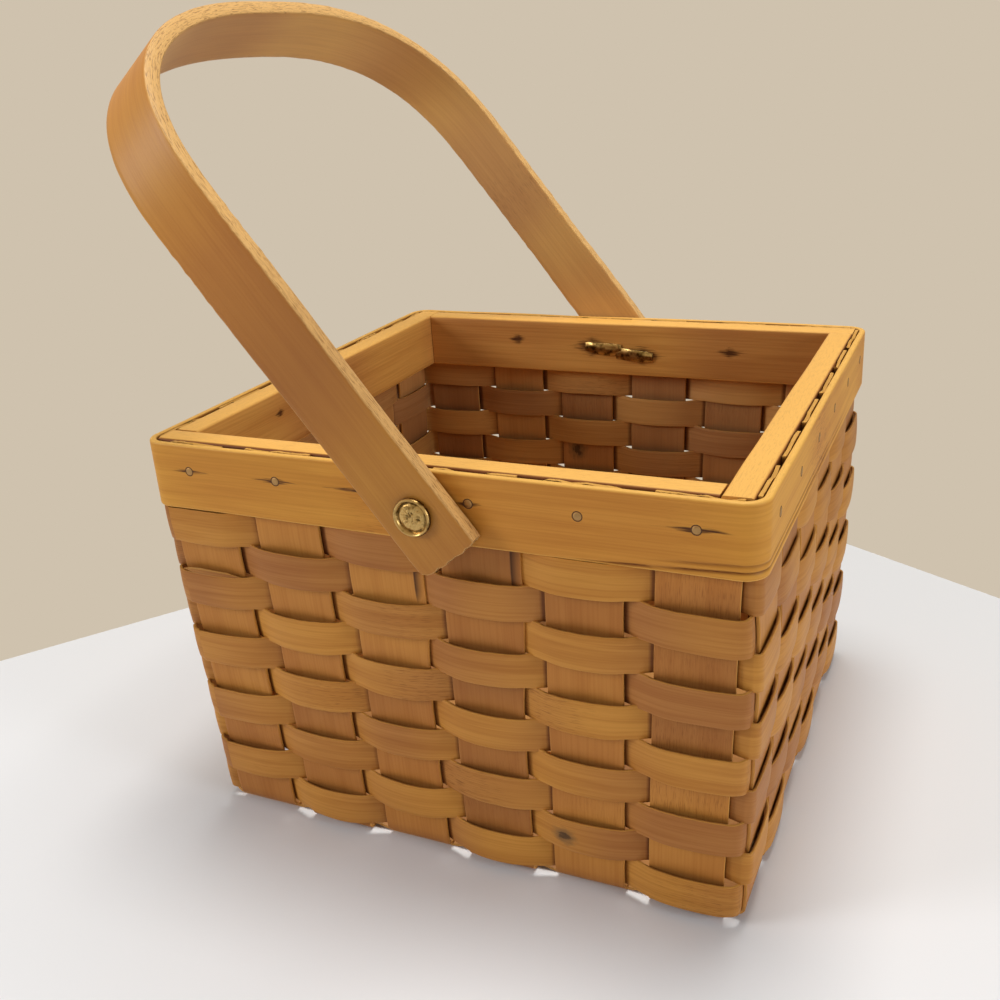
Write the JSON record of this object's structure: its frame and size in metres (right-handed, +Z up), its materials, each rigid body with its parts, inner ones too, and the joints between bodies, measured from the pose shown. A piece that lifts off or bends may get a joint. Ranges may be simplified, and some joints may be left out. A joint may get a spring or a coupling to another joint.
{
  "type": "woven splint basket",
  "caption": "Square-cornered basket woven from flat wooden splints, with a bent band rim, inner rim boards and a bentwood handle that swings on split fasteners.",
  "frame": {"origin": "middle of the part's bounding box, on the table that the base rests on, with the handle as it leans in the picture", "axes": "+Z up, -Y out of the front wall, the handle's pivot axis along Y, the handle leaning to -X"},
  "size_m": [0.2296, 0.2224, 0.2935],
  "materials": {
    "stake_wood": "satin stained ash",
    "weaver_wood": "satin stained ash",
    "band_wood": "satin stained ash",
    "board_wood": "satin stained ash",
    "handle_wood": "satin stained ash",
    "fastener_brass": "aged brass plate",
    "nail_brass": "dull tarnished"
  },
  "bodies": {
    "basket": {"front_back_stake_1": "stake_wood", "front_back_stake_2": "stake_wood", "front_back_stake_3": "stake_wood", "front_back_stake_4": "stake_wood", "front_back_stake_5": "stake_wood", "front_back_stake_6": "stake_wood", "side_to_side_stake_1": "stake_wood", "side_to_side_stake_2": "stake_wood", "side_to_side_stake_3": "stake_wood", "side_to_side_stake_4": "stake_wood", "side_to_side_stake_5": "stake_wood", "side_to_side_stake_6": "stake_wood", "weaver_row_01": "weaver_wood", "weaver_row_02": "weaver_wood", "weaver_row_03": "weaver_wood", "weaver_row_04": "weaver_wood", "weaver_row_05": "weaver_wood", "weaver_row_06": "weaver_wood", "weaver_row_07": "weaver_wood", "weaver_row_08": "weaver_wood", "weaver_row_09": "weaver_wood", "weaver_row_10": "weaver_wood", "rim_band": "band_wood", "rim_board_front": "board_wood", "rim_board_right": "board_wood", "rim_board_back": "board_wood", "rim_board_left": "board_wood", "nail_front_1": "nail_brass", "nail_front_2": "nail_brass", "nail_front_3": "nail_brass", "nail_front_4": "nail_brass", "nail_front_5": "nail_brass", "nail_front_6": "nail_brass", "nail_right_1": "nail_brass", "nail_right_2": "nail_brass", "nail_right_3": "nail_brass", "nail_right_4": "nail_brass", "nail_right_5": "nail_brass", "nail_right_6": "nail_brass", "nail_back_1": "nail_brass", "nail_back_2": "nail_brass", "nail_back_3": "nail_brass", "nail_back_4": "nail_brass", "nail_back_5": "nail_brass", "nail_back_6": "nail_brass", "nail_left_1": "nail_brass", "nail_left_2": "nail_brass", "nail_left_3": "nail_brass", "nail_left_4": "nail_brass", "nail_left_5": "nail_brass", "nail_left_6": "nail_brass", "split_fastener_front": "fastener_brass", "split_fastener_back": "fastener_brass"},
    "handle": {"handle": "handle_wood"}
  },
  "joints": [
    {"name": "handle_swing", "type": "hinge", "parent": "basket", "child": "handle", "pos_m": [0.00812, 0, 0.1408], "axis": [0, 1, 0], "range_deg": [-82, 158]}
  ]
}
